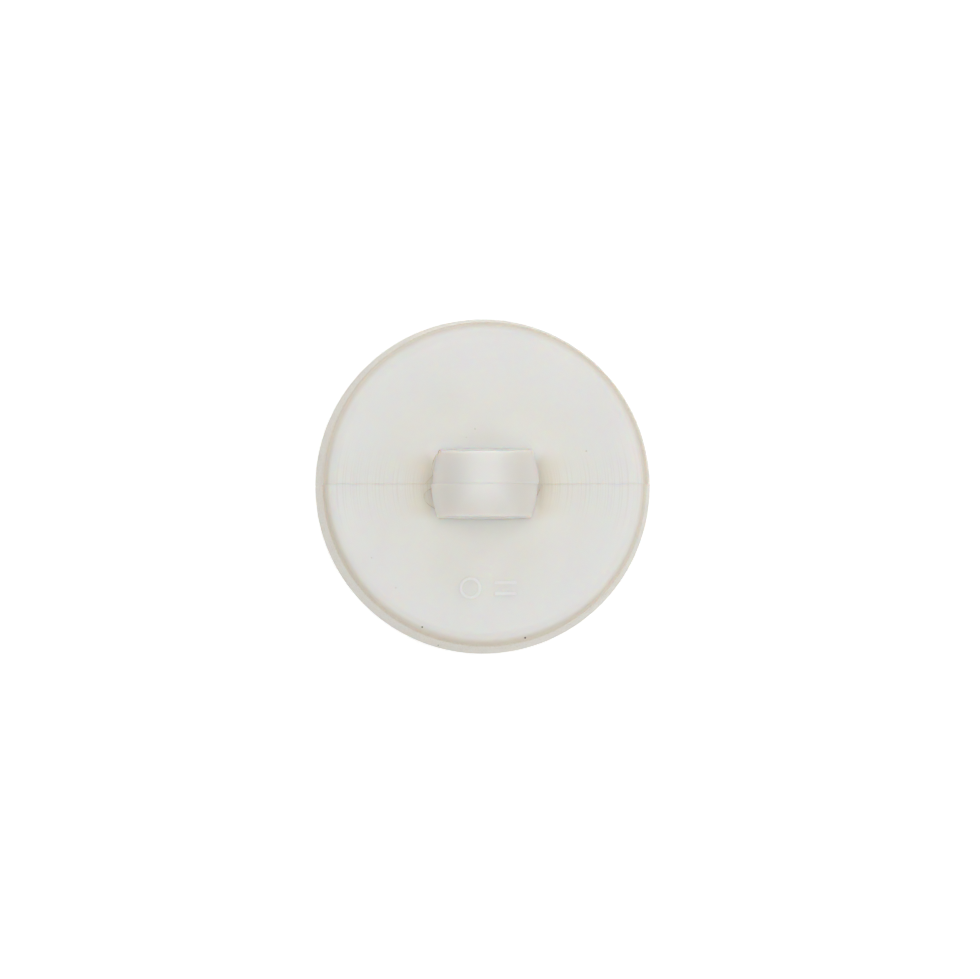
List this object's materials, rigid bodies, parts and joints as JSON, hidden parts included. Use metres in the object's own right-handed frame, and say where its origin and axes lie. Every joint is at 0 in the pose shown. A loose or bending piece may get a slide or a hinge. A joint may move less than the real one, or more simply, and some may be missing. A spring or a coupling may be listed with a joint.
{
  "type": "sew-on shank button",
  "caption": "Round off-white moulded sewing button with a flat back that rounds down to a narrow ledge, a barrel-shaped thread shank with a round eye, and a smooth pillow front.",
  "frame": {"origin": "centre of the flat of the front, on the surface that the button lies on", "axes": "+Z out of the back along the shank, +Y along the thread eye, +X across the shank's width"},
  "size_m": [0.0152, 0.0152, 0.0067],
  "materials": {
    "cap_plastic": "smooth moulded gloss",
    "back_plastic": "moulded satin with fine turning marks"
  },
  "bodies": {
    "root": {"front_cap": "cap_plastic", "shank_back": "back_plastic"}
  },
  "joints": []
}
